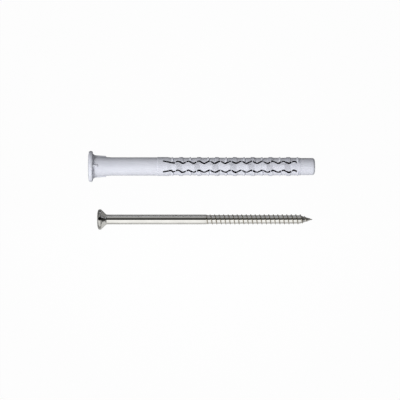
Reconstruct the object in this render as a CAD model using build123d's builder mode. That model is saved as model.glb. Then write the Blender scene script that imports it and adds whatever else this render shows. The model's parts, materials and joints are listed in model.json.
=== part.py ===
# Frame fixing: a moulded nylon sleeve and its countersunk screw, lying side by side.
# Millimetres. Z = 0 is the surface they lie on, +X runs from the heads to the tips,
# +Y from the screw to the sleeve, and the origin is under the middle of the pair.
# Each piece is drawn along its own X axis, from its head at x = 0, and then laid down.
import os
from math import atan2, cos, pi, sin

from build123d import *

# Sleeve: flange and neck
sleeve_length = 120.0
flange_r = 8.2
flange_thickness = 1.75
flange_dish = 0.25  # how far the face falls back from the mouth to the rim
flange_corner_r = 0.8
flange_chamfer = 0.45
underside_length = 1.3  # the hollow run from the flange to the neck
underside_steep = 0.43  # its steep part, next to the flange
neck_r = 5.4
neck_end = 12.4
fin_end = 9.2
fin_height = 0.32
fin_thickness = 1.3
gusset_end = 5.1
gusset_height = 0.55
gusset_thickness = 1.0
rib_foot = 1.2  # extra height of fins and gussets where they meet the flange

# Sleeve: shank, collar and nose
shank_r = 4.83
collar_to_tip = 83.6  # a longer sleeve has a longer shank and the same expansion zone
collar_length = 5.6
collar_r = 4.995  # the ribs of the expansion zone stand as high
collar_chamfer = 0.35
nose_length = 7.8
nose_shoulder = 0.5
nose_r = 4.52
nose_edge_r = 1.3

# Sleeve: bore
mouth_clearance = 0.2
bore_clearance = 0.1
bore_past_collar_start = 1.6
throat_chamfer = 0.4
throat_flat = 2.0  # from the axis to each flat of the narrow bore
throat_sides = 6

# Sleeve: expansion zone, with places counted from the start of the collar
zone_r = 4.67
rib_pitch = 9.48
narrow_rib_offset = 7.4
narrow_rib_length = 1.0
wide_rib_offset = 11.5
wide_rib_length = 2.3
rib_gap_angle = 14.0  # between the middle of a slit and the end of a side rib
barb_offset = 10.0
barb_pitch = 9.53
barb_length = 3.4
barb_height = 0.28
barb_half_angle = 18.0
rib_root = 0.4  # how deep ribs and barbs start inside the wall

# Sleeve: wavy slits
slit_angle = 31.0  # from the front line of the sleeve to the middle of a slit
slit_width = 0.6
slit_offset = 3.0
slit_tail = 1.5  # from the last crest to the end of the slit
wave_offset = 8.2  # to the first low of the wave
wave_pitch = 5.59
wave_height = 0.72
upper_lead_in = 0.9
lower_lead_in = -0.25
lower_lead_fall = 1.4  # from the crest of the lower slit's lead-in to its first low
bridge_width = 0.42
bridge_before_crest = 0.85
bridge_after_crest = 0.74
bridge_end_count = 3  # bridges that stand before their crest, near each end of the slit
slit_band = 3.0  # width of the strip that holds a slit

# Screw
screw_length = 114.5
head_r = 5.42
head_flat_r = 3.1
head_dome = 0.3
head_corner_r = 1.0
head_land = 0.7
head_neck_r = 1.2
shaft_r = 2.6
thread_r = 2.75  # outer radius of the thread, which is drawn as its envelope
thread_start = 57.4
thread_run_in = 0.6
point_length = 6.7
recess_span = 5.4
recess_wing = 1.2
recess_depth = 2.8
recess_taper = 9.0

# How far a cut starts outside the solid
overcut = 1.0

# How the pair lies
axis_gap = 28.1
head_stagger = 4.6
sleeve_roll = 3.0


def rounded_corner(x, radius, corner):
    """The front corner of a head, rounded by two flats."""
    step = corner * (1 - sin(pi / 4))
    return [(x, radius - corner), (x + step, radius - step), (x + corner, radius)]


def copies_before_nose(first, length, pitch):
    """How many ribs or barbs fit between the first and the nose."""
    return int((nose_start - first - length) / pitch) + 1


def neck_radius(x):
    return shank_r + (neck_end - x) * (neck_r - shank_r) / (neck_end - neck_start)


def neck_rib(plane, end, height):
    """One pair of ribs on opposite sides of the neck, from the flange to end."""
    with BuildSketch(plane) as ribs:
        with BuildLine():
            Polyline(
                (flange_thickness, neck_r - rib_root),
                (flange_thickness, neck_r + height + rib_foot),
                (neck_start, neck_r + height),
                (end, neck_radius(end) + height),
                (end, neck_radius(end) - rib_root),
                close=True,
            )
        make_face()
        mirror(about=Plane.XZ)
    return ribs.sketch


def side_rib_profiles(plane):
    """Narrow ribs with a steep far side between wide ribs with a steep near side."""
    low = zone_r - rib_root
    with BuildSketch(plane) as ribs:
        for n in range(copies_before_nose(narrow_rib_first, narrow_rib_length, rib_pitch)):
            near = narrow_rib_first + n * rib_pitch
            far = near + narrow_rib_length
            with BuildLine():
                Polyline((near, low), (near, zone_r), (far, collar_r), (far, low), close=True)
            make_face()
        for n in range(copies_before_nose(wide_rib_first, wide_rib_length, rib_pitch)):
            near = wide_rib_first + n * rib_pitch
            far = near + wide_rib_length
            with BuildLine():
                Polyline((near, low), (near, collar_r), (far, zone_r), (far, low), close=True)
            make_face()
    return ribs.sketch


def barb_profiles(plane):
    """Barbs that stand steep on the head's side and fall to nothing towards the tip."""
    fall = barb_height / barb_length
    with BuildSketch(plane) as barbs:
        for n in range(barb_count):
            near = barb_first + n * barb_pitch
            far = near + barb_length + rib_root
            with BuildLine():
                Polyline(
                    (near, zone_r - rib_root),
                    (near, zone_r + barb_height),
                    (far, zone_r - rib_root * fall),
                    (far, zone_r - rib_root),
                    close=True,
                )
            make_face()
    return barbs.sketch


def wavy_slit(plane, lead_in):
    """A wavy ribbon along the sleeve, cut short at each bridge."""
    points = list(lead_in)
    for n in range(wave_count):
        low = wave_first_low + n * wave_pitch
        crest = low + wave_pitch / 2
        points += [(low, -wave_height), (crest, wave_height)]
    points.append((crest + slit_tail, 0))
    with BuildSketch(plane) as slit:
        with BuildLine():
            Polyline(*points)
        trace(line_width=slit_width)
        for n in range(wave_count):
            crest = wave_first_low + (n + 0.5) * wave_pitch
            near_end = n < bridge_end_count or n >= wave_count - bridge_end_count
            place = crest - bridge_before_crest if near_end else crest + bridge_after_crest
            with Locations((place, 0)):
                Rectangle(bridge_width, slit_band, mode=Mode.SUBTRACT)
    return slit.sketch


# Sleeve
underside_start = flange_thickness + flange_chamfer
neck_start = underside_start + underside_length
bore_r = thread_r + bore_clearance
mouth_r = head_r + mouth_clearance
collar_start = sleeve_length - collar_to_tip
collar_end = collar_start + collar_length
bore_end = collar_start + bore_past_collar_start
nose_start = sleeve_length - nose_length
nose_edge_step = nose_edge_r * (1 - sin(pi / 4))
narrow_rib_first = collar_start + narrow_rib_offset
wide_rib_first = collar_start + wide_rib_offset
barb_first = collar_start + barb_offset
barb_count = copies_before_nose(barb_first, barb_length, barb_pitch)
rib_arc = 180 - 2 * (slit_angle + rib_gap_angle)
slit_start = collar_start + slit_offset
wave_first_low = collar_start + wave_offset
wave_count = int((nose_start - wave_first_low) / wave_pitch)

with BuildPart() as sleeve_form:
    with BuildSketch(Plane.XY):
        with BuildLine():
            Polyline(
                (0, 0),
                (0, mouth_r),
                *rounded_corner(flange_dish, flange_r, flange_corner_r),
                (flange_thickness, flange_r),
                (underside_start, flange_r - flange_chamfer),
                (underside_start + underside_steep, (flange_r + neck_r) / 2),
                (neck_start, neck_r),
                (neck_end, shank_r),
                (collar_start, shank_r),
                (collar_start + collar_chamfer, collar_r),
                (collar_end, collar_r),
                (collar_end + collar_chamfer, zone_r),
                (nose_start, zone_r),
                (nose_start + nose_shoulder, nose_r),
                (sleeve_length - nose_edge_r, nose_r),
                (sleeve_length - nose_edge_step, nose_r - nose_edge_step),
                (sleeve_length, nose_r - nose_edge_r),
                (sleeve_length, 0),
                close=True,
            )
        make_face()
    revolve(axis=Axis.X)

    # Fins on both sides of the neck, gussets front and back
    extrude(neck_rib(Plane.XY, fin_end, fin_height), amount=fin_thickness / 2, both=True)
    extrude(neck_rib(Plane.XZ, gusset_end, gusset_height), amount=gusset_thickness / 2, both=True)

    # Ribs on the side strips, barbs on the front and back strips
    for side in (0, 180):
        rib_plane = Plane.XY.rotated((side - rib_arc / 2, 0, 0))
        revolve(side_rib_profiles(rib_plane), axis=Axis.X, revolution_arc=rib_arc)
        barb_plane = Plane.XY.rotated((side + 90 - barb_half_angle, 0, 0))
        revolve(barb_profiles(barb_plane), axis=Axis.X, revolution_arc=2 * barb_half_angle)

    # Countersunk mouth and screw bore
    with BuildSketch(Plane.XY):
        with BuildLine():
            Polyline(
                (-overcut, 0),
                (-overcut, mouth_r + overcut),
                (mouth_r - bore_r, bore_r),
                (bore_end, bore_r),
                (bore_end + throat_chamfer, bore_r - throat_chamfer),
                (bore_end + throat_chamfer, 0),
                close=True,
            )
        make_face()
    revolve(axis=Axis.X, mode=Mode.SUBTRACT)

    # Narrow bore of the expansion zone, with a flat behind each slit and each side strip
    with BuildSketch(Plane.YZ.offset(sleeve_length)):
        RegularPolygon(throat_flat, throat_sides, major_radius=False, rotation=180 / throat_sides)
    extrude(amount=bore_end - sleeve_length, mode=Mode.SUBTRACT)

    # Four wavy slits, from the bore outwards
    upper_lead = [(slit_start, upper_lead_in)]
    lower_lead = [(slit_start, lower_lead_in), (wave_first_low - lower_lead_fall, wave_height)]
    for turn, lead in ((-slit_angle, upper_lead), (slit_angle, lower_lead)):
        for side in (0, 180):
            slit_plane = Plane.XY.rotated((side + turn, 0, 0))
            extrude(
                wavy_slit(slit_plane, lead),
                amount=collar_r + overcut,
                dir=slit_plane.z_dir,
                mode=Mode.SUBTRACT,
            )


# Screw
point_start = screw_length - point_length
cone_start = head_dome + head_corner_r + head_land
cone_end = cone_start + head_r - shaft_r

with BuildPart() as screw_form:
    with BuildSketch(Plane.XY):
        with BuildLine():
            Polyline(
                (0, 0),
                (0, head_flat_r),
                *rounded_corner(head_dome, head_r, head_corner_r),
                (cone_start, head_r),
                (cone_end, shaft_r),
                (thread_start, shaft_r),
                (thread_start + thread_run_in, thread_r),
                (point_start, thread_r),
                (screw_length, 0),
                close=True,
            )
        make_face()
    revolve(axis=Axis.X)
    fillet(screw_form.edges().filter_by_position(Axis.X, cone_end, cone_end), head_neck_r)

    # Cross recess for the driver, narrowing inwards
    with BuildSketch(Plane.YZ):
        Rectangle(recess_span, recess_wing)
        Rectangle(recess_wing, recess_span)
    extrude(amount=recess_depth, taper=recess_taper, mode=Mode.SUBTRACT)


def rest_tilt(rim, rings):
    """The angle at which a piece lies on its head's rim and on the first ring to touch."""
    return min(atan2(rim[1] - r, x - rim[0]) for x, r in rings)


def seat(x, y, rim, tilt):
    """The plane of a piece that lies tilted, with its head's rim on the surface."""
    height = rim[1] * cos(tilt) + rim[0] * sin(tilt)
    return Plane((x, y, height), x_dir=(cos(tilt), 0, -sin(tilt)), z_dir=(sin(tilt), 0, cos(tilt)))


sleeve_rim = (flange_thickness, flange_r)
last_barb = (barb_first + barb_pitch * (barb_count - 1), zone_r + barb_height)
nose_edge = (sleeve_length - nose_edge_r, nose_r)
sleeve_tilt = rest_tilt(sleeve_rim, [last_barb, (nose_start, zone_r), nose_edge])
sleeve_x = -sleeve_length * cos(sleeve_tilt) / 2
sleeve_y = (axis_gap + head_r - flange_r) / 2
screw_rim = (cone_start, head_r)
screw_tilt = rest_tilt(screw_rim, [(point_start, thread_r)])

with BuildPart(seat(sleeve_x, sleeve_y, sleeve_rim, sleeve_tilt)) as sleeve:
    add(sleeve_form.part, rotation=(sleeve_roll, 0, 0))
sleeve.part.label = "sleeve"

with BuildPart(seat(sleeve_x + head_stagger, sleeve_y - axis_gap, screw_rim, screw_tilt)) as screw:
    add(screw_form.part)
screw.part.label = "screw"

os.makedirs("parts", exist_ok=True)
export_step(sleeve.part, "parts/sleeve.step")
export_step(screw.part, "parts/screw.step")
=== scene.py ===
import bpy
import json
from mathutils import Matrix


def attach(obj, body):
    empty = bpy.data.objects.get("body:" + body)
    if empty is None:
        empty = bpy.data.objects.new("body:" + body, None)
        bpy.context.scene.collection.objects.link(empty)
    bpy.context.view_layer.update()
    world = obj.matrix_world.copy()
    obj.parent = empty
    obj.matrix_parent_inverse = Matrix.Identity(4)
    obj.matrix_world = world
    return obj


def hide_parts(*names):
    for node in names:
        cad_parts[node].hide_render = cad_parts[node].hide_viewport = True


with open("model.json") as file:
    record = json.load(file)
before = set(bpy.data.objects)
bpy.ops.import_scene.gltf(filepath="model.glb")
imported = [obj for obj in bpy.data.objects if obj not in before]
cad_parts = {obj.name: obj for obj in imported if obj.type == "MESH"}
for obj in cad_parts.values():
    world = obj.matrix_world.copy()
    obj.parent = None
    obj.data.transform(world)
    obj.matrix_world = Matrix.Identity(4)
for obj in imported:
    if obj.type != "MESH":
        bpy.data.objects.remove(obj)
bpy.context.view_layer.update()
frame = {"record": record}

import json
from math import radians

import bmesh
import bpy
import numpy as np

# Frame fixing: a moulded nylon sleeve and its countersunk screw, lying side by side.
# Lengths are millimetres along and around each piece's own axis, from its head at x = 0.
# Angles round a piece start at its front line, which faces up, and grow towards +Y.
millimetre = 0.001
mergeDistance = 2e-7  # metres
sameLength = 1e-6  # millimetres


# The place of a piece's axis: a mount's axis, walked back to where x is 0
def seatFrom(mountName, distance):
    mount = next(m for m in frame["record"]["mounts"] if m["name"] == mountName)
    along = np.array(mount["axis"])
    start = np.array(mount["pos_m"]) - along * distance * millimetre
    across = np.array([0.0, 1.0, 0.0])
    return {"start": start, "along": along, "across": across, "up": np.cross(along, across)}


# Cylinder coordinates to the frame: start + x*along + r*sin(angle)*across + r*cos(angle)*up
def onSeat(seat, x, radius, angle):
    x, radius, angle = np.broadcast_arrays(x, radius, angle)
    side = radius * np.sin(angle)
    height = radius * np.cos(angle)
    points = x[..., None] * seat["along"] + side[..., None] * seat["across"]
    points = points + height[..., None] * seat["up"]
    return seat["start"] + points * millimetre


# A closed mesh from points and faces: its doubles are merged, and it is smooth up to a sharp angle
def buildPiece(name, points, faces, finishes, faceFinish, node, sharpAngle):
    mesh = bpy.data.meshes.new(name)
    mesh.from_pydata(points.reshape(-1, 3).tolist(), [], faces.tolist())
    mesh.polygons.foreach_set("material_index", faceFinish)
    shape = bmesh.new()
    shape.from_mesh(mesh)
    bmesh.ops.remove_doubles(shape, verts=shape.verts, dist=mergeDistance)
    bmesh.ops.dissolve_degenerate(shape, edges=shape.edges, dist=mergeDistance)
    bmesh.ops.recalc_face_normals(shape, faces=shape.faces)
    if shape.calc_volume(signed=True) < 0:
        bmesh.ops.reverse_faces(shape, faces=shape.faces)
    openEdges = sum(1 for edge in shape.edges if not edge.is_manifold)
    shape.to_mesh(mesh)
    shape.free()
    mesh.polygons.foreach_set("use_smooth", np.ones(len(mesh.polygons), dtype=bool))
    mesh.set_sharp_from_angle(angle=radians(sharpAngle))
    for finish in finishes:
        mesh.materials.append(finish)
    piece = bpy.data.objects.new(name, mesh)
    bpy.context.scene.collection.objects.link(piece)
    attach(piece, "root")
    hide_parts(node)
    mesh.calc_loop_triangles()
    print(name, "has", len(mesh.loop_triangles), "triangles and", openEdges, "open edges")


# An arc as points (x, r) round a centre, by equal steps of the angle
def arcPoints(centreX, centreR, radius, fromDegrees, toDegrees, count):
    t = np.radians(np.linspace(fromDegrees, toDegrees, count))
    return np.stack([centreX + radius * np.cos(t), centreR + radius * np.sin(t)], axis=1)


# A material with its node tree and its shader
def newMaterial(name):
    material = bpy.data.materials.new(name)
    material.use_nodes = True
    return material, material.node_tree, material.node_tree.nodes["Principled BSDF"]


# Cloudy noise on the object's own coordinates
def noiseOn(tree, scale, detail, stretch=(1, 1, 1)):
    place = tree.nodes.new("ShaderNodeTexCoord")
    mapping = tree.nodes.new("ShaderNodeMapping")
    mapping.inputs["Scale"].default_value = stretch
    noise = tree.nodes.new("ShaderNodeTexNoise")
    noise.inputs["Scale"].default_value = scale
    noise.inputs["Detail"].default_value = detail
    tree.links.new(place.outputs["Object"], mapping.inputs["Vector"])
    tree.links.new(mapping.outputs["Vector"], noise.inputs["Vector"])
    return noise.outputs["Fac"]


# Straight runs between stops of (place, colour)
def rampOf(tree, value, stops):
    ramp = tree.nodes.new("ShaderNodeValToRGB")
    while len(ramp.color_ramp.elements) < len(stops):
        ramp.color_ramp.elements.new(0.5)  # each gets its own place below
    for element, (place, colour) in zip(ramp.color_ramp.elements, stops):
        element.position = place
        element.color = (*colour, 1)
    tree.links.new(value, ramp.inputs["Fac"])
    return ramp.outputs["Color"]


# A normal bent by a height, strength times distance
def bumpFrom(tree, height, strength, distance):
    bump = tree.nodes.new("ShaderNodeBump")
    bump.inputs["Strength"].default_value = strength
    bump.inputs["Distance"].default_value = distance
    tree.links.new(height, bump.inputs["Height"])
    return bump.outputs["Normal"]


# Places on a ramp say where the first tone ends and the second begins
nylonLook = {
    "pale": (0.75, 0.765, 0.84),
    "deep": (0.71, 0.725, 0.80),
    "cloudScale": 90,
    "cloudDetail": 3,
    "cloudPlaces": (0.3, 0.65),
    "patchScale": 400,
    "patchDetail": 2,
    "patchPlaces": (0.35, 0.7),
    "roughness": (0.34, 0.48),
    "glow": 0.10,  # share of light that goes through the skin
    "glowColour": (1.0, 0.9, 0.95),
    "glowDepth": 0.0006,  # metres
    "ior": 1.5,
    "grainScale": 2600,
    "grainDetail": 2,
    "grainStrength": 0.09,
    "grainDepth": 0.00002,  # metres
}
barbPaintedShadeTint = 0.87  # painted shade: the barbs' tops are painted darker, standing in for their shade
thinPaintedLightTint = 1.17  # painted light: the gussets and narrow ribs are painted paler, standing in for light that comes through them
# Painted shade: near-black nylon for the walls of the slits and the narrow bore
insidePaintedShadeLook = {
    "pale": (0.03, 0.03, 0.036),
    "deepShare": 0.7,
    "cloudScale": 90,
    "cloudDetail": 3,
    "cloudPlaces": (0.3, 0.7),
    "roughness": 0.6,
}
steelLook = {
    "bright": (0.85, 0.84, 0.80),
    "dull": (0.76, 0.75, 0.71),
    "cloudScale": 260,
    "cloudDetail": 3,
    "cloudPlaces": (0.3, 0.7),
    "patchScale": 700,
    "patchDetail": 3,
    "patchPlaces": (0.3, 0.75),
    "drawnStretch": (0.06, 1, 1),  # long along X
    "drawnScale": 3000,
    "drawnDetail": 2,
    "drawnStrength": 0.05,
    "drawnDepth": 0.000006,  # metres
}
platedFinish = {"tone": 1.0, "warmth": (1.0, 1.0, 1.0), "roughness": (0.04, 0.08)}
# Painted shade: the thread's flanks and crest are painted darker and warmer, standing in for their
# shade; they are rougher too
threadPaintedShadeFinish = {"tone": 0.62, "warmth": (1.0, 0.93, 0.83), "roughness": (0.16, 0.26)}
# The rim is darker and a little rougher than the plating
rimFinish = {"tone": 0.66, "warmth": (1.0, 1.0, 1.0), "roughness": (0.10, 0.18)}


# Clouds that drift from a deep colour to a pale one
def cloudyTint(tree, look, deep, pale):
    clouds = noiseOn(tree, look["cloudScale"], look["cloudDetail"])
    return rampOf(tree, clouds, list(zip(look["cloudPlaces"], (deep, pale))))


# Patches that drift between two levels of roughness
def patchyRoughness(tree, look, roughness):
    patches = noiseOn(tree, look["patchScale"], look["patchDetail"])
    greys = [(level,) * 3 for level in roughness]
    return rampOf(tree, patches, list(zip(look["patchPlaces"], greys)))


# Milky satin nylon: a faint cloudiness, a fine moulded grain and a shallow glow
def makeNylon(name, tone):
    look = nylonLook
    material, tree, shader = newMaterial(name)
    deep, pale = (tuple(tone * c for c in look[key]) for key in ("deep", "pale"))
    tree.links.new(cloudyTint(tree, look, deep, pale), shader.inputs["Base Color"])
    satin = patchyRoughness(tree, look, look["roughness"])
    tree.links.new(satin, shader.inputs["Roughness"])
    shader.inputs["Subsurface Weight"].default_value = look["glow"]
    shader.inputs["Subsurface Radius"].default_value = look["glowColour"]
    shader.inputs["Subsurface Scale"].default_value = look["glowDepth"]
    shader.inputs["IOR"].default_value = look["ior"]
    grain = noiseOn(tree, look["grainScale"], look["grainDetail"])
    grainBump = bumpFrom(tree, grain, look["grainStrength"], look["grainDepth"])
    tree.links.new(grainBump, shader.inputs["Normal"])
    return material


# Painted shade: the walls deep in the slits and in the narrow bore are painted near black, standing
# in for the shade there
def makeInsidePaintedShadeNylon():
    look = insidePaintedShadeLook
    material, tree, shader = newMaterial("nylon_inside_painted_shade")
    deep = tuple(look["deepShare"] * c for c in look["pale"])
    tree.links.new(cloudyTint(tree, look, deep, look["pale"]), shader.inputs["Base Color"])
    shader.inputs["Roughness"].default_value = look["roughness"]
    return material


# Plated steel: slightly cloudy plating and faint lines drawn along the wire. Its finish scales the
# colours by a tone and a warmth
def makeSteel(name, finish):
    look = steelLook
    material, tree, shader = newMaterial(name)
    shares = [finish["tone"] * w for w in finish["warmth"]]
    dull, bright = (tuple(w * c for w, c in zip(shares, look[key])) for key in ("dull", "bright"))
    tree.links.new(cloudyTint(tree, look, dull, bright), shader.inputs["Base Color"])
    polish = patchyRoughness(tree, look, finish["roughness"])
    tree.links.new(polish, shader.inputs["Roughness"])
    shader.inputs["Metallic"].default_value = 1
    drawn = noiseOn(tree, look["drawnScale"], look["drawnDetail"], look["drawnStretch"])
    drawnBump = bumpFrom(tree, drawn, look["drawnStrength"], look["drawnDepth"])
    tree.links.new(drawnBump, shader.inputs["Normal"])
    return material


nylon = makeNylon("milky_nylon", 1.0)
# Painted shade on the barbs' tops
barbPaintedShadeNylon = makeNylon("milky_nylon_barbs_painted_shade", barbPaintedShadeTint)
# Painted light on the gussets and narrow ribs
thinPaintedLightNylon = makeNylon("milky_nylon_thin_painted_light", thinPaintedLightTint)
# Painted shade in the slits and narrow bore
insidePaintedShadeNylon = makeInsidePaintedShadeNylon()
steel = makeSteel("bright_plated_steel", platedFinish)
# Painted shade on the thread's flanks and crest
threadPaintedShadeSteel = makeSteel("thread_steel_painted_shade", threadPaintedShadeFinish)
rimSteel = makeSteel("darker_rim_steel", rimFinish)
print("materials made")

# Each shape on the sleeve has a group of its own; angles are in degrees
sleeve = {
    "length": 120.0,
    "flangeRadius": 8.19,
    "flangeThickness": 1.72,
    "faceFall": 0.25,  # how far the face falls back towards its rim
    "faceCurl": 1.6,  # more is flatter near the mouth
    "faceCorner": 0.8,  # radii of the flange's rim
    "backCorner": 0.58,
    "undersideLength": 1.2,
    "undersideCurl": 2.5,
    "neckRadius": 5.4,
    "neckEnd": 12.4,
    "shankRadius": 4.83,
    "collarStart": 36.4,
    "collarEnd": 42.0,
    "collarRadius": 4.995,
    "collarChamfer": 0.25,
    "collarFall": 2.0,
    "zoneRadius": 4.67,
    "noseStart": 112.2,
    "noseShoulder": 0.3,
    "noseRadius": 4.52,
    "noseEdge": 1.3,
    "tipChamfer": 0.1,
    "mouthStart": 0.002,  # a hair inside the end of the piece
    "mouthRadius": 5.62,
    "mouthLand": 1.2,
    "boreRadius": 2.85,
    "boreEnd": 38.0,
    "throatChamfer": 0.4,
    "throatFlat": 2.0,  # from the axis to each flat of the narrow bore
    "throatSides": 6,
    "roll": 3.0,  # how far it lies turned about its axis
    "steepRun": 0.1,  # how far along x a steep face takes
    "sharpAngle": 32,  # edges that bend more stay sharp
    "fin": {
        "middle": 90,
        "end": 9.2,
        "height": 0.56,
        "halfWidth": 0.65,
        "foot": 1.2,  # extra height at the flange, gone at footEnd
        "footEnd": 3.5,
        "edge": 0.9,  # width over which each side falls
        "endRun": 0.4,  # length over which its end falls
    },
    "gusset": {
        "middle": 6,
        "end": 4.9,
        "height": 0.8,
        "halfWidth": 0.41,
        "foot": 1.3,
        "footEnd": 4.9,
        "edge": 0.4,
        "endRun": 0.45,
        "paintedLightReach": 6,  # how far to each side the painted light reaches
    },
    "narrowRib": {
        "first": 43.8,
        "pitch": 9.48,
        "count": 8,
        "length": 1.0,
        "height": 0.325,
        "flat": 0.2,  # length of its level top
        "farRun": 0.5,
        "dip": 0.36,
        "dipLength": 0.8,
    },
    "wideRib": {
        "first": 48.15,
        "pitch": 9.48,
        "count": 7,
        "length": 2.4,
        "height": 0.325,
        "fall": 0.7,  # length over which its far side falls
        "dip": 0.12,
        "dipRuns": 3,  # how many steep runs before the rib its dip starts
    },
    "barb": {
        "first": 46.4,
        "pitch": 9.53,
        "count": 7,
        "length": 3.4,
        "height": 0.28,
        "lip": 2.3,  # how far before the barb its lip starts
        "lipHeight": 0.24,
        "sink": 0.2,  # how far it ends below the strip
        "topAngle": 13.5,  # full height up to here, and none from the next on
        "footAngle": 16.6,
    },
    "slit": {
        "angle": 31.0,  # from the front or back line
        "width": 0.86,
        "start": 39.4,
        "end": 110.4,
        "pitch": 5.59,
        "height": 0.62,  # from its middle to a crest
        "sharpness": 0.72,  # towards 0 a plain wave, towards 1 a zigzag
        "crestShare": 0.5,  # the crest stands this far through each pitch
        "firstLow": 44.45,  # where the wave is first at its lowest
        "count": 12,
        "upperLead": [(39.4, 0.6), (45.0, -0.5)],  # points before the first crest
        "lowerLead": [(39.4, -0.2), (43.5, 0.5), (45.0, -0.35)],
        "bridgeWidth": 0.32,
        "beforeCrest": 1.15,  # of the bridges near the ends
        "afterCrest": 0.38,  # of the bridges between
        "endBridges": 3,  # how many count as near each end
        "roundEnd": 0.16,  # length over which an opening narrows to its end
        "roundRows": (0.2, 0.5, 0.92),  # shares of the round end
        "bluntness": 0.6,  # towards 0 it ends in a point
        "bevelWidth": 0.08,
        "bevelDepth": 0.05,
        "bevelPast": 0.2,  # how far it goes on past the slit's ends
        "boreMargin": 0.03,  # share of a strip's width in the bore
    },
    # Lines round the sleeve, in degrees, on its front strip and on one side
    "frontLines": [-16.6, -13.5, -6.4, -0.5, 3.8, 6.0, 8.2, 13.5, 16.6],
    "sideLines": [
        47.5, 54.0, 61.0, 68.0, 73.5, 78.5, 84.0, 88.0,
        92.0, 96.0, 101.5, 106.5, 112.0, 119.0, 126.0, 132.5,
    ],
    # Distances between rows, from a row to a corner, and between corners
    "rowSteps": {"shank": 0.8, "zone": 0.2, "nose": 0.6, "nearest": 0.06, "smallest": 0.02},
    "zonePast": 1,  # how far past the nose's start the zone's steps go on
    "rowCounts": {"face": 6, "corner": 9, "back": 6, "underside": 12, "noseEdge": 10},
}
fin, gusset, narrowRib, wideRib, barb, slit = (
    sleeve[group] for group in ("fin", "gusset", "narrowRib", "wideRib", "barb", "slit"))


# A rounded zigzag, height*arcsin(k*sin(u))/arcsin(k), with one crest in each pitch. Before its
# first crest a slit runs through the points of its lead-in: straight to the second point, then
# half a cosine between neighbours
def waveCentre(x, lead):
    turns = (x - slit["firstLow"]) / slit["pitch"]
    share = np.interp(turns % 1, [0, slit["crestShare"], 1], [0, 0.5, 1])
    u = 2 * np.pi * share - np.pi / 2
    k = slit["sharpness"]
    wave = slit["height"] * np.arcsin(k * np.sin(u)) / np.arcsin(k)
    firstCrest = slit["firstLow"] + slit["crestShare"] * slit["pitch"]
    points = slit[lead] + [(firstCrest, slit["height"])]
    start = np.full_like(x, points[0][1])
    for n, ((x0, w0), (x1, w1)) in enumerate(zip(points, points[1:])):
        t = np.clip((x - x0) / (x1 - x0), 0, 1)
        eased = t if n == 0 else (1 - np.cos(np.pi * t)) / 2
        start = start + (w1 - w0) * eased
    return np.where(x < firstCrest, start, wave)


# Bridges stand just before their crest near both ends of a slit and just after it between
def bridgePlaces():
    n = np.arange(slit["count"])
    crest = slit["firstLow"] + (n + slit["crestShare"]) * slit["pitch"]
    nearEnd = (n < slit["endBridges"]) | (n >= slit["count"] - slit["endBridges"])
    return np.where(nearEnd, crest - slit["beforeCrest"], crest + slit["afterCrest"])


# The open stretches of x between the bridges: where each one begins and where it ends
def openStretches():
    half = slit["bridgeWidth"] / 2
    begins = np.concatenate([[slit["start"]], bridgePlaces() + half])
    ends = np.concatenate([bridgePlaces() - half, [slit["end"]]])
    return begins, ends


# The stretches of x without a slit: before it, each bridge, and after it
def closedStretches():
    begins, ends = openStretches()
    farAway = 1e3
    return np.concatenate([[-farAway], ends]), np.concatenate([begins, [farAway]])


# Both edges of a slit: centre -/+ half width * sqrt(1 + slope^2), narrower close to its ends
def slitEdges(x, lead):
    inside = np.clip(x, slit["start"], slit["end"])
    centre = waveCentre(inside, lead)
    step = 0.01
    slope = (waveCentre(inside + step, lead) - waveCentre(inside - step, lead)) / (2 * step)
    lows, highs = closedStretches()
    gap = np.min(np.maximum(lows[:, None] - x, x - highs[:, None]), axis=0)
    share = np.clip(gap / slit["roundEnd"], slit["bluntness"], 1)
    half = slit["width"] / 2 * np.sqrt(1 + slope**2) * np.sqrt(share)
    return centre - half, centre + half


# Heights along the side strips, as straight runs: narrow ribs that fall steeply into a dip on
# their far side, and wide ribs that rise steeply from one on their near side
def sideProfile():
    xs, hs = [], []
    for n in range(narrowRib["count"]):
        near = narrowRib["first"] + n * narrowRib["pitch"]
        far = near + narrowRib["length"]
        xs += [near, far - narrowRib["flat"], far]
        xs += [far + narrowRib["farRun"], far + narrowRib["dipLength"]]
        hs += [0, narrowRib["height"], narrowRib["height"], -narrowRib["dip"], 0]
    steep = sleeve["steepRun"]
    for n in range(wideRib["count"]):
        near = wideRib["first"] + n * wideRib["pitch"]
        far = near + wideRib["length"]
        xs += [near - wideRib["dipRuns"] * steep, near - steep, near, far - wideRib["fall"], far]
        hs += [0, -wideRib["dip"], wideRib["height"], wideRib["height"], 0]
    order = np.argsort(xs)
    return np.array(xs)[order], np.array(hs)[order]


# Heights along the front and back strips: a lip that rises, a steep step, and a barb that falls
# to a little below the strip
def frontProfile():
    steep = sleeve["steepRun"]
    xs, hs = [], []
    for n in range(barb["count"]):
        near = barb["first"] + n * barb["pitch"]
        far = near + barb["length"]
        xs += [near - barb["lip"], near - steep, near, far, far + steep]
        hs += [0, barb["lipHeight"], barb["height"], -barb["sink"], 0]
    return np.array(xs), np.array(hs)


# Whether x is on one of the ribs or barbs of a shape that is evenly repeated
def repeatedAt(x, shape):
    first, pitch = shape["first"], shape["pitch"]
    inRow = (x > first) & (x < first + shape["count"] * pitch)
    return inRow & ((x - first) % pitch < shape["length"])


# Where the neck comes out of the flange's hollow underside
def neckStart():
    return sleeve["flangeThickness"] + sleeve["backCorner"] + sleeve["undersideLength"]


# Radius along the neck, shank, collar, zone and nose, as straight runs
def bodyProfile():
    s = sleeve
    return np.array([
        (neckStart(), s["neckRadius"]),
        (s["neckEnd"], s["shankRadius"]),
        (s["collarStart"], s["shankRadius"]),
        (s["collarStart"] + s["collarChamfer"], s["collarRadius"]),
        (s["collarEnd"], s["collarRadius"]),
        (s["collarEnd"] + s["collarFall"], s["zoneRadius"]),
        (s["noseStart"], s["zoneRadius"]),
        (s["noseStart"] + s["noseShoulder"], s["noseRadius"]),
        (s["length"] - s["noseEdge"], s["noseRadius"]),
    ])


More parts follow.
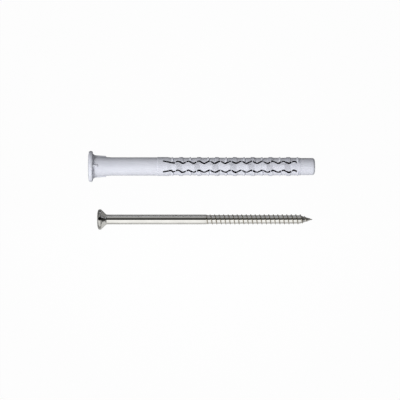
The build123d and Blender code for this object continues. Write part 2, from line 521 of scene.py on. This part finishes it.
# Rows along x: every corner of the profiles and slits, with even steps in the gaps between
def bodyRows():
    s = sleeve
    steps = s["rowSteps"]
    profile = bodyProfile()
    begins, ends = openStretches()
    corners = [profile[:, 0], sideProfile()[0], frontProfile()[0], begins, ends]
    for share in slit["roundRows"]:
        corners += [begins + share * slit["roundEnd"], ends - share * slit["roundEnd"]]
    for shape in (fin, gusset):
        corners.append(np.array([shape["end"], shape["end"] + shape["endRun"]]))
    throat = s["boreEnd"] + s["throatChamfer"]
    corners.append(np.array([s["boreEnd"], throat, throat + s["steepRun"] / 2]))
    fixed = np.unique(np.round(np.concatenate(corners), 4))
    fixed = fixed[np.concatenate([[True], np.diff(fixed) > steps["smallest"]])]
    zoneEnd = s["noseStart"] + s["zonePast"]
    even = np.concatenate([
        np.arange(profile[0, 0], s["collarStart"], steps["shank"]),
        np.arange(s["collarStart"], zoneEnd, steps["zone"]),
        np.arange(zoneEnd, profile[-1, 0], steps["nose"]),
    ])
    near = np.min(np.abs(even[:, None] - fixed[None, :]), axis=1)
    return np.sort(np.concatenate([fixed, even[near > steps["nearest"]]]))


# The four slits, each followed by its strip: front, side, back and the other side
slitCentres = [
    (-slit["angle"], "lowerLead"),
    (slit["angle"], "upperLead"),
    (180 - slit["angle"], "lowerLead"),
    (180 + slit["angle"], "upperLead"),
]
stripLines = [
    [turn + a for a in sleeve[lines]] for turn in (0, 180) for lines in ("frontLines", "sideLines")]
onEdge, onFront, onSide = -1, 0, 1  # a slit's edge, a front or back strip, a side strip


# Angles of all lines at x: slit edges at centre + arcsin(w / radius) outside and at
# centre + arctan(w / flat) on the flats of the narrow bore, and the strips' lines between them
def lineAngles(x, inner):
    bevel = np.degrees(slit["bevelWidth"] / sleeve["zoneRadius"])
    margin = slit["boreMargin"]
    strips = len(slitCentres)

    def turned(w):
        if inner:
            return np.degrees(np.arctan(w / sleeve["throatFlat"]))
        return np.degrees(np.arcsin(w / sleeve["zoneRadius"]))

    lowEdges, highEdges = [], []
    for centre, lead in slitCentres:
        low, high = slitEdges(x, lead)
        lowEdges.append(centre + turned(low))
        highEdges.append(centre + turned(high))
    columns = []
    for k in range(strips):
        after = (k + 1) % strips
        wholeTurn = 360 if after == 0 else 0
        start, end = highEdges[k], lowEdges[after] + wholeTurn
        columns += [lowEdges[k], start]
        if inner:
            first, last = slitCentres[k][0], slitCentres[after][0] + wholeTurn
            shares = [(a - first) / (last - first) for a in stripLines[k]]
            columns += [start + (end - start) * share for share in [margin, *shares, 1 - margin]]
        else:
            columns += [start + bevel, *(np.full_like(x, a) for a in stripLines[k]), end - bevel]
    return np.stack(columns, axis=1)


# For each line, what it is on
def lineRoles():
    roles = []
    for k in range(len(slitCentres)):
        strip = onSide if k % 2 else onFront
        roles += [onEdge, onEdge] + [strip] * (len(stripLines[k]) + 2)
    return np.array(roles)


# The larger of the surface and of the fins (both sides) and gussets (front and back): a fin's top
# is neck + foot + height up to its end, and its sides are steep
def withFins(x, radius, angle):
    s = sleeve
    neck = np.interp(x, [neckStart(), s["neckEnd"]], [s["neckRadius"], s["shankRadius"]])
    result = radius.copy()
    for shape in (fin, gusset):
        away = np.abs((angle - shape["middle"] + 90) % 180 - 90)
        endX = shape["end"] + shape["endRun"]
        foot = np.interp(x, [s["flangeThickness"], shape["footEnd"]], [shape["foot"], 0])
        height = shape["height"] * np.clip((endX - x) / shape["endRun"], 0, 1)
        beside = np.radians(away) * s["neckRadius"] - shape["halfWidth"]
        share = np.clip(0.5 - beside / shape["edge"], 0, 1)
        raised = np.where(x <= endX, neck + foot + height, 0)
        result = np.maximum(result, radius + np.maximum(raised - radius, 0) * share)
    return result


# Base profile plus ribs on the side strips, barbs on the front and back strips, and bevels
# along the slits
def outerRadius(x, angles):
    profile = bodyProfile()
    base = np.interp(x, profile[:, 0], profile[:, 1])[:, None]
    roles = lineRoles()
    side = np.interp(x, *sideProfile(), left=0, right=0)[:, None]
    front = np.interp(x, *frontProfile(), left=0, right=0)[:, None]
    away = np.abs((angles + 90) % 180 - 90)
    front = front * np.interp(away, [barb["topAngle"], barb["footAngle"]], [1, 0])
    radius = base + np.where(roles == onSide, side, 0) + np.where(roles == onFront, front, 0)
    edges = np.where(roles == onEdge)[0]
    neighbour = np.where(roles[(edges + 1) % len(roles)] == onEdge, edges - 1, edges + 1)
    past = slit["bevelPast"]
    bevelled = (x > slit["start"] - past) & (x < slit["end"] + past)
    radius[:, edges] = radius[:, neighbour] - slit["bevelDepth"] * bevelled[:, None]
    return withFins(x[:, None], radius, angles)


# Screw bore, its chamfer, and the narrow bore: flat / cos(angle from the middle of its flat)
def innerRadius(x, angles):
    s = sleeve
    throat = s["boreEnd"] + s["throatChamfer"]
    radii = [s["boreRadius"], s["boreRadius"] - s["throatChamfer"]]
    bore = np.interp(x, [s["boreEnd"], throat], radii)
    side = 360 / s["throatSides"]
    narrow = s["throatFlat"] / np.cos(np.radians(angles % side - side / 2))
    return np.where(x[:, None] > throat + s["steepRun"] / 4, narrow, bore[:, None])


# Mouth edge, slightly domed face, rounded rim and hollow underside, as points (x, r): the face
# falls by t^curl, and the underside comes in by (1 - t)^curl
def headProfile():
    s = sleeve
    counts = s["rowCounts"]
    faceEdge = s["flangeRadius"] - s["faceCorner"]
    t = np.linspace(0, 1, counts["face"])[1:-1]
    faceR = s["mouthRadius"] + (faceEdge - s["mouthRadius"]) * t
    face = np.stack([s["faceFall"] * t ** s["faceCurl"], faceR], axis=1)
    rimX = s["faceFall"] + s["faceCorner"]
    corner = arcPoints(rimX, faceEdge, s["faceCorner"], 180, 90, counts["corner"])
    backEdge = s["flangeRadius"] - s["backCorner"]
    back = arcPoints(s["flangeThickness"], backEdge, s["backCorner"], 90, 0, counts["back"])
    t = np.linspace(0, 1, counts["underside"])[1:-1]
    underside = np.stack([
        s["flangeThickness"] + s["backCorner"] + s["undersideLength"] * t,
        s["neckRadius"] + (backEdge - s["neckRadius"]) * (1 - t) ** s["undersideCurl"],
    ], axis=1)
    mouthEdge = [(s["mouthStart"], s["mouthRadius"])]
    return np.concatenate([mouthEdge, face, corner, back, underside])


# Walls through the sleeve between its outer and inner rings: along both sides of the open rows,
# and across both ends of each open stretch
def slitWalls(outerRing, innerRing, openCell, slitLines, lines):
    openRows = np.where(openCell)[0]
    begins = np.where(openCell & ~np.concatenate([[False], openCell[:-1]]))[0]
    ends = np.where(openCell & ~np.concatenate([openCell[1:], [False]]))[0] + 1
    walls = []
    for line in slitLines:
        o0, o1 = (outerRing[rows] * lines + line for rows in (openRows, openRows + 1))
        n0, n1 = (innerRing[rows] * lines + line for rows in (openRows, openRows + 1))
        walls.append(np.stack([o0, o1, n1, n0], axis=1))
        walls.append(np.stack([o1, o0, n0, n1], axis=1) + 1)
        o, n = outerRing[begins] * lines + line, innerRing[begins] * lines + line
        walls.append(np.stack([o + 1, o, n, n + 1], axis=1))
        o, n = outerRing[ends] * lines + line, innerRing[ends] * lines + line
        walls.append(np.stack([o, o + 1, n + 1, n], axis=1))
    return np.concatenate(walls)


# One ring-shaped grid: out over the head, zone and nose, back through the bore, slits left out
def makeSleeve():
    s = sleeve
    seat = seatFrom("drill_hole_fit", (s["neckEnd"] + s["collarStart"]) / 2)
    x = bodyRows()
    outerAngles, innerAngles = lineAngles(x, False), lineAngles(x, True)
    lines = outerAngles.shape[1]

    head = headProfile()
    headAngles = np.repeat(outerAngles[:1], len(head), axis=0)
    headRadius = withFins(head[:, :1], np.repeat(head[:, 1:], lines, axis=1), headAngles)
    flangeEnd = s["flangeThickness"] + s["backCorner"]
    headRadius = np.where(head[:, :1] < flangeEnd, head[:, 1:], headRadius)
    edge = s["noseEdge"]
    noseCentre = (s["length"] - edge, s["noseRadius"] - edge)
    nose = arcPoints(*noseCentre, edge, 90, 0, s["rowCounts"]["noseEdge"])[1:]
    mouth = np.array([
        (s["mouthRadius"] - s["boreRadius"], s["boreRadius"]),
        (s["mouthLand"], s["mouthRadius"] - s["mouthLand"]),
    ])
    tipAngles = innerAngles[-1:]
    tipBore = innerRadius(x[-1:], tipAngles)

    def ringsOf(x, radius, angles):
        return onSeat(seat, x, radius, np.radians(angles) - radians(s["roll"]))

    rings = np.concatenate([
        ringsOf(head[:, :1], headRadius, headAngles),
        ringsOf(x[:, None], outerRadius(x, outerAngles), outerAngles),
        ringsOf(nose[:, :1], nose[:, 1:], outerAngles[-1:]),
        ringsOf(s["length"], tipBore + s["tipChamfer"], tipAngles),
        ringsOf(s["length"] - s["tipChamfer"], tipBore, tipAngles),
        ringsOf(x[::-1, None], innerRadius(x, innerAngles)[::-1], innerAngles[::-1]),
        ringsOf(mouth[:, :1], mouth[:, 1:], innerAngles[:1]),
    ])
    count = len(rings)
    outerRing = len(head) + np.arange(len(x))
    tipRings = 2
    innerRing = len(head) + 2 * len(x) + len(nose) + tipRings - 1 - np.arange(len(x))
    i = np.arange(count)[:, None]
    j = np.arange(lines)[None, :]
    nextRing, nextLine = (i + 1) % count, (j + 1) % lines
    quads = np.stack(np.broadcast_arrays(
        i * lines + j, nextRing * lines + j, nextRing * lines + nextLine, i * lines + nextLine,
    ), axis=-1)

    # Cells of the slits, open where the middle of the row's step is in no closed stretch
    lows, highs = closedStretches()
    middle = (x[:-1] + x[1:]) / 2
    outside = (middle[None, :] < lows[:, None]) | (middle[None, :] > highs[:, None])
    openCell = np.all(outside, axis=0)
    openRows = np.where(openCell)[0]
    roles = lineRoles()
    nextRoles = np.roll(roles, -1)
    slitLines = np.where((roles == onEdge) & (nextRoles == onEdge))[0]
    keep = np.ones((count, lines), dtype=bool)
    for line in slitLines:
        keep[outerRing[openRows], line] = False
        keep[innerRing[openRows + 1], line] = False

    # Painted shade in the narrow bore and on the barbs' tops, and painted light on the gussets and
    # on the narrow ribs of the +Y side
    finishes = [nylon, insidePaintedShadeNylon, barbPaintedShadeNylon, thinPaintedLightNylon]
    plain, paintedShadeInside, dull, pale = range(len(finishes))
    finish = np.full((count, lines), plain)
    finish[innerRing[x > s["boreEnd"] + s["throatChamfer"]]] = paintedShadeInside
    onStrip = (roles != onEdge) & (nextRoles != onEdge)
    barbPaintedShadeCells = np.where(onStrip & (roles == onFront))[0]
    finish[np.ix_(outerRing[:-1][repeatedAt(middle, barb)], barbPaintedShadeCells)] = dull
    # Painted light on the narrow ribs of the +Y side only
    upperSide = np.abs(outerAngles[0] - 90) < 90 - slit["angle"]
    ribPaintedLightCells = np.where(onStrip & upperSide)[0]
    finish[np.ix_(outerRing[:-1][repeatedAt(middle, narrowRib)], ribPaintedLightCells)] = pale
    # Painted light on the gussets
    ringX = np.concatenate([head[:, 0], x])
    gussetPaintedLightRings = np.where((ringX >= flangeEnd) & (ringX < gusset["end"]))[0]
    cellMiddle = (outerAngles[0] + np.roll(outerAngles[0], -1)) / 2
    fromGusset = np.abs((cellMiddle - gusset["middle"] + 90) % 180 - 90)
    gussetPaintedLightCells = np.where(fromGusset < gusset["paintedLightReach"])[0]
    finish[np.ix_(gussetPaintedLightRings, gussetPaintedLightCells)] = pale

    # The slit walls get the painted shade too
    walls = slitWalls(outerRing, innerRing, openCell, slitLines, lines)
    faces = np.concatenate([quads[keep], walls])
    faceFinish = np.concatenate([finish[keep], np.full(len(walls), paintedShadeInside)])
    buildPiece("sleeve_dressed", rings, faces, finishes, faceFinish, "sleeve",
               s["sharpAngle"])


makeSleeve()

screw = {
    "length": 114.5,
    "headRadius": 5.408,
    "faceFlat": 3.1,  # radius of the flat middle of the face
    "faceRise": 0.3,
    "faceCurl": 1.5,  # more is flatter near the middle
    "faceCorner": 1.0,
    "land": 0.7,
    "landEdge": 1.2,  # radius between the land and the cone
    "neckFillet": 1.2,  # radius between the cone and the shank
    "shankRadius": 2.6,
    "shankMiddle": 31.55852,  # where the mount on the shank is
    "threadStart": 57.4,
    "rootRadius": (2.33, 2.20),  # at the thread's start and at the point
    "rootFall": 1.2,  # length over which the shank falls to the root
    "threadRadius": 2.75,
    "pitch": 2.4,
    "ridgeAtSide": 57.5,  # where the ridge first points to +Y
    "growth": [(0, 0), (0.4, 0.45), (3.4, 1)],  # distance into the thread, share of its height
    "pointLength": 6.7,
    "sharpAngle": 38,  # degrees; edges that bend more stay sharp
    "recess": {
        "halfSpan": 2.7,  # from the middle to the end of a wing
        "halfWing": 0.6,  # half of a wing's width
        "depth": 2.8,
        "draft": 9.0,  # degrees
        "edge": 0.08,  # chamfer at the face
        "tip": 0.5,  # how much deeper the middle of the floor is
        "floorRings": (0.0, 0.35, 0.75, 1.0),  # shares of the cross
        "wallRings": (0.66, 0.33),  # shares of the depth
    },
    "ridge": {
        "away": [0.0, 0.04, 0.16, 0.28, 0.38],  # along x from the middle of the crest
        "height": [1.0, 1.0, 0.42, 0.06, 0.0],  # shares of the ridge's height there
        "rootRows": [0.8, 1.2, 1.6],
        "roughAndPaintedShadeReach": 0.30,  # how far from the crest its flanks are rougher and painted darker as shade
    },
    "lineStep": 5,  # degrees
    "shankPast": 2,  # how far past the cone the shank's even rows begin
    "rowCounts": {"face": 9, "corner": 11, "landEdge": 6, "cone": 7, "fillet": 8, "shank": 40},
}
recess, ridge = screw["recess"], screw["ridge"]


# Angles round the screw: even steps and the corners of the cross
def screwTurns():
    corner = np.degrees(np.arctan(recess["halfWing"] / recess["halfSpan"]))
    corners = np.concatenate([[90 * k + corner, 90 * k + 90 - corner] for k in range(4)])
    even = np.arange(0, 361, screw["lineStep"])
    return -np.radians(np.unique(np.round(np.concatenate([even, corners]), 3)))


# The cross: in each direction the further of its two wings, and each wing reaches to the nearer
# of its end and its side
def crossEdge(turn):
    c, s = np.abs(np.cos(turn)), np.abs(np.sin(turn))
    notZero = 1e-9
    span, wing = recess["halfSpan"], recess["halfWing"]
    upright = np.minimum(span / (c + notZero), wing / (s + notZero))
    level = np.minimum(wing / (c + notZero), span / (s + notZero))
    return np.maximum(upright, level)


# A point's coordinate across the cross, drawn in by a distance: sides move, tips shrink
def drawnIn(value, distance):
    wing = recess["halfWing"]
    moved = np.sign(value) * (np.abs(value) - distance)
    return np.where(np.abs(value) >= wing - sameLength, moved, value * (wing - distance) / wing)


# Tapering root plus a ridge, both run out along the point; the ridge grows over the first turns
def threadRadiusAt(x, height):
    s = screw
    pointStart = s["length"] - s["pointLength"]
    rootX = [s["threadStart"], s["threadStart"] + s["rootFall"], pointStart]
    root = np.interp(x, rootX, [s["shankRadius"], *s["rootRadius"]])
    taper = np.clip((s["length"] - x) / s["pointLength"], 0, 1)
    growX = [s["threadStart"] + distance for distance, share in s["growth"]]
    grow = np.interp(x, growX, [share for distance, share in s["growth"]])
    return (root + (s["threadRadius"] - root) * grow * height) * taper


# Where the land and the cone would meet, but for the rounded edge between them
def coneStart():
    return screw["faceRise"] + screw["faceCorner"] + screw["land"]


# Rim, land, 45 degree cone, fillet and shank up to the thread, as points (x, r)
def screwProfile():
    s = screw
    counts = s["rowCounts"]
    land, fillet = s["landEdge"], s["neckFillet"]
    coneEnd = coneStart() + s["headRadius"] - s["shankRadius"]
    tangent = fillet * np.tan(np.pi / 8)  # from a corner of 45 degrees to where its arc begins
    landCentre = (coneStart() - land * np.tan(np.pi / 8), s["headRadius"] - land)
    coneFirst = landCentre[0] + land * np.sin(np.pi / 4)
    coneX = np.linspace(coneFirst, coneEnd - tangent, counts["cone"])[1:-1]
    shankX = np.linspace(coneEnd + s["shankPast"], s["threadStart"], counts["shank"])
    rimCentre = (s["faceRise"] + s["faceCorner"], s["headRadius"] - s["faceCorner"])
    neckCentre = (coneEnd + tangent, s["shankRadius"] + fillet)
    return np.concatenate([
        arcPoints(*rimCentre, s["faceCorner"], 180, 90, counts["corner"]),
        arcPoints(*landCentre, land, 90, 45, counts["landEdge"]),
        np.stack([coneX, s["headRadius"] + coneStart() - coneX], axis=1),
        arcPoints(*neckCentre, fillet, 225, 270, counts["fillet"]),
        np.stack([shankX, np.full_like(shankX, s["shankRadius"])], axis=1),
    ])


# Rings as (x, r, angle): the cross from the middle of its floor up, drawn in with the depth; the
# face, which falls back to its rim by t^curl past its flat middle; the profile up to the thread
def headRings(turn):
    s = screw
    edge = crossEdge(turn)
    up, level = edge * np.cos(turn), edge * np.sin(turn)
    draft = np.tan(radians(recess["draft"]))

    def crossRing(depth, scale=1.0):
        across, along = (drawnIn(part, depth * draft) * scale for part in (up, level))
        x = depth + recess["tip"] * (1 - scale)
        return np.full_like(edge, x), np.hypot(across, along), np.arctan2(along, across)

    rings = [crossRing(recess["depth"], scale) for scale in recess["floorRings"]]
    rings += [crossRing(recess["depth"] * share) for share in recess["wallRings"]]
    rings.append(crossRing(recess["edge"]))
    faceEdge = s["headRadius"] - s["faceCorner"]
    for t in np.linspace(0, 1, s["rowCounts"]["face"])[:-1]:
        radius = edge + recess["edge"] + (faceEdge - edge - recess["edge"]) * t
        dome = np.clip((radius - s["faceFlat"]) / (faceEdge - s["faceFlat"]), 0, 1)
        rings.append((s["faceRise"] * dome ** s["faceCurl"], radius, turn))
    rings += [(np.full_like(edge, x), np.full_like(edge, r), turn) for x, r in screwProfile()]
    return (np.stack(part) for part in zip(*rings))


# Rings for the recess, head and shank; from the thread's start the rows climb with the ridge,
# x = row start + pitch * share of a turn
def makeScrew():
    s = screw
    seat = seatFrom("screw_shank", s["shankMiddle"])
    turn = screwTurns()
    share = turn / turn[-1]
    ringX, ringR, ringTurn = headRings(turn)

    # Rows of one pitch, closest on the ridge, and all the pitches up to the point
    half = np.array(ridge["away"][1:])
    away = np.concatenate([-half[::-1], half, ridge["rootRows"]])
    height = np.interp(np.abs(away), ridge["away"], ridge["height"])
    turnAtSide = 0.75  # the share of a turn at which a row points to +Y
    firstTurn = s["ridgeAtSide"] - turnAtSide * s["pitch"]
    turns = np.arange(-1, int(np.ceil((s["length"] - firstTurn) / s["pitch"])) + 1)
    rowStart = (firstTurn + turns[:, None] * s["pitch"] + away[None, :]).ravel()
    rowHeight = np.tile(height, len(turns))
    rowX = np.clip(rowStart[:, None] + s["pitch"] * share[None, :], s["threadStart"], s["length"])
    rowR = threadRadiusAt(rowX, rowHeight[:, None])
    rowTurn = np.broadcast_to(turn, rowX.shape)

    allX, allR = np.concatenate([ringX, rowX]), np.concatenate([ringR, rowR])
    points = onSeat(seat, allX, allR, np.concatenate([ringTurn, rowTurn]))
    rows, columns = allX.shape
    i = np.arange(rows - 1)[:, None]
    j = np.arange(columns - 1)[None, :]
    corner = i * columns + j
    quads = np.stack([corner, corner + 1, corner + columns + 1, corner + columns], axis=-1)

    # Painted shade: the flanks and crest of the ridge are painted darker than the root between
    # them, and are rougher; the rim is darker and rougher too
    finishes = [steel, threadPaintedShadeSteel, rimSteel]
    plain, flankPaintedShade, rim = range(len(finishes))
    rowAway = np.concatenate([np.full(len(ringX), s["pitch"]), np.tile(away, len(turns))])
    ridgePaintedShade = np.abs(rowAway) < ridge["roughAndPaintedShadeReach"]
    faceEdge = s["headRadius"] - s["faceCorner"]
    onRim = (allR[:-1, 0] >= faceEdge - sameLength) & (allX[:-1, 0] < coneStart())
    finish = np.full(rows - 1, plain)
    finish[ridgePaintedShade[:-1] & ridgePaintedShade[1:]] = flankPaintedShade
    finish[onRim] = rim
    faceFinish = np.repeat(finish, columns - 1)
    buildPiece("screw_dressed", points, quads.reshape(-1, 4), finishes, faceFinish,
               "screw", s["sharpAngle"])


makeScrew()

# Lengths in metres, angles in degrees
studio = {
    "floorSize": 3.0,
    "floorPaintedPoolNear": (0.66, 0.66, 0.66),
    "floorPaintedPoolFar": (0.12, 0.12, 0.12),
    "floorPaintedPoolReach": (0.05, 0.12),  # painted pool of light, from the middle: where the near tone ends and the far begins
    "floorPaintedShadeSides": [(-0.024, 1.0), (-0.010, 0.42)],  # painted shade towards +Y: places along Y and the tone's share there
    "floorSeenWhite": 0.98,
    "keyPlace": (-0.40, -0.12, 0.86),
    "keySize": 0.35,
    "keyPower": 5.3,
    "worldAngles": [-96, -80, -62, -13, -9, 29, 36, 62, 90],  # from straight up towards +Y
    "worldLevels": [0.85, 1.12, 1.12, 1.30, 0.01, 0.01, 0.40, 0.42, 0.10],
    "worldSides": [-1.0, -0.6, 0.0, 0.45, 0.72, 0.90, 0.935, 0.965, 0.985, 1.0],
    "sideShares": [1.05, 0.86, 0.93, 0.8, 0.12, 0.06, 0.55, 0.55, 0.03, 0.03],
    "worldTop": 1.6,  # the level that is white on the ramp of worldLevels
}
# Lengths in millimetres
cameraSetup = {
    "centre": (-0.87, -5.1),
    "height": 1000.0,
    "objectLevel": 8.0,
    "pixel": 0.5293,
    "pixels": 400,
    "sensor": 36.0,
    "farEnd": 10,  # metres
}


# One Math node: a number is set on its socket, and another node's output is linked to it
def mathNode(tree, operation, *values):
    node = tree.nodes.new("ShaderNodeMath")
    node.operation = operation
    for socket, value in zip(node.inputs, values):
        if isinstance(value, (int, float)):
            socket.default_value = value
        else:
            tree.links.new(value, socket)
    return node.outputs[0]


# Plain white to the camera, by a share, and a surface's own shader to every other ray
def whiteToCamera(tree, own, white, share, output):
    path = tree.nodes.new("ShaderNodeLightPath")
    mixer = tree.nodes.new("ShaderNodeMixShader")
    seen = mathNode(tree, "MULTIPLY", path.outputs["Is Camera Ray"], share)
    tree.links.new(seen, mixer.inputs["Fac"])
    tree.links.new(own, mixer.inputs[1])
    tree.links.new(white, mixer.inputs[2])
    tree.links.new(mixer.outputs["Shader"], output)


# A pale matte floor, plain white to the camera but for its soft shadow. Its matte tone holds a
# painted pool of light that fades with the distance from its middle, times painted shade towards +Y
def makeFloor():
    size = studio["floorSize"]
    mesh = bpy.data.meshes.new("floor")
    corners = [(-size, -size, 0), (size, -size, 0), (size, size, 0), (-size, size, 0)]
    mesh.from_pydata(corners, [], [(0, 1, 2, 3)])
    floor = bpy.data.objects.new("floor", mesh)
    bpy.context.scene.collection.objects.link(floor)
    material = bpy.data.materials.new("pale_floor")
    material.use_nodes = True
    tree = material.node_tree
    tree.nodes.remove(tree.nodes["Principled BSDF"])
    place = tree.nodes.new("ShaderNodeTexCoord")
    distance = tree.nodes.new("ShaderNodeVectorMath")
    distance.operation = "LENGTH"
    tree.links.new(place.outputs["Object"], distance.inputs[0])
    # Painted pool of light by the distance from the middle, and painted shade towards +Y
    paintedPoolTones = zip(studio["floorPaintedPoolReach"], (studio["floorPaintedPoolNear"], studio["floorPaintedPoolFar"]))
    tone = rampOf(tree, distance.outputs["Value"], list(paintedPoolTones))
    split = tree.nodes.new("ShaderNodeSeparateXYZ")
    tree.links.new(place.outputs["Object"], split.inputs["Vector"])
    raised = mathNode(tree, "ADD", split.outputs["Y"], 0.5)  # a ramp reads only 0 to 1
    sides = [(y + 0.5, (share,) * 3) for y, share in studio["floorPaintedShadeSides"]]
    sideShare = rampOf(tree, raised, sides)
    paintedLightTone = tree.nodes.new("ShaderNodeVectorMath")
    paintedLightTone.operation = "MULTIPLY"
    tree.links.new(tone, paintedLightTone.inputs[0])
    tree.links.new(sideShare, paintedLightTone.inputs[1])
    matte = tree.nodes.new("ShaderNodeBsdfDiffuse")
    tree.links.new(paintedLightTone.outputs["Vector"], matte.inputs["Color"])
    white = tree.nodes.new("ShaderNodeEmission")
    output = tree.nodes["Material Output"].inputs["Surface"]
    whiteToCamera(tree, matte.outputs["BSDF"], white.outputs["Emission"],
                  studio["floorSeenWhite"], output)
    mesh.materials.append(material)


# Soft light whose level goes by the angle atan2(Y, Z) from straight up towards +Y, times a share
# that goes by X; the camera sees plain white
def makeWorld():
    world = bpy.data.worlds.new("studio")
    bpy.context.scene.world = world
    world.use_nodes = True
    tree = world.node_tree
    background = tree.nodes["Background"]
    place = tree.nodes.new("ShaderNodeTexCoord")
    split = tree.nodes.new("ShaderNodeSeparateXYZ")
    tree.links.new(place.outputs["Generated"], split.inputs["Vector"])

    # A ramp reads only 0 to 1, so a turn and the range of X are brought to that
    angle = mathNode(tree, "ARCTAN2", split.outputs["Y"], split.outputs["Z"])
    turnShare = mathNode(tree, "MULTIPLY_ADD", angle, 1 / (2 * np.pi), 0.5)
    top = studio["worldTop"]
    levels = zip(studio["worldAngles"], studio["worldLevels"])
    level = rampOf(tree, turnShare, [(a / 360 + 0.5, (v / top,) * 3) for a, v in levels])
    sideShare = mathNode(tree, "MULTIPLY_ADD", split.outputs["X"], 0.5, 0.5)
    sides = zip(studio["worldSides"], studio["sideShares"])
    side = rampOf(tree, sideShare, [(p / 2 + 0.5, (v,) * 3) for p, v in sides])
    tree.links.new(level, background.inputs["Color"])
    tree.links.new(mathNode(tree, "MULTIPLY", side, top), background.inputs["Strength"])
    white = tree.nodes.new("ShaderNodeBackground")
    white.inputs["Color"].default_value = (1, 1, 1, 1)
    output = tree.nodes["World Output"].inputs["Surface"]
    whiteToCamera(tree, background.outputs["Background"], white.outputs["Background"], 1, output)


# A soft lamp from above and from the heads' side, left out of the reflections
def makeKey():
    lamp = bpy.data.lights.new("key", "AREA")
    lamp.size = studio["keySize"]
    lamp.energy = studio["keyPower"]
    key = bpy.data.objects.new("key", lamp)
    key.location = studio["keyPlace"]
    key.rotation_euler = (-key.location).to_track_quat("-Z", "Y").to_euler()
    key.visible_glossy = False
    bpy.context.scene.collection.objects.link(key)


# Straight down from a metre up; the lens fits one pixel to its size at the object's level
def makeCamera():
    c = cameraSetup
    width = c["pixel"] * c["pixels"]
    data = bpy.data.cameras.new("camera")
    data.sensor_width = c["sensor"]
    data.lens = c["sensor"] * (c["height"] - c["objectLevel"]) / width
    data.clip_end = c["farEnd"]
    camera = bpy.data.objects.new("camera", data)
    camera.location = [length * millimetre for length in (*c["centre"], c["height"])]
    bpy.context.scene.collection.objects.link(camera)
    bpy.context.scene.camera = camera


makeFloor()
makeWorld()
makeKey()
makeCamera()
bpy.context.scene.view_settings.view_transform = "Standard"
print("studio made")
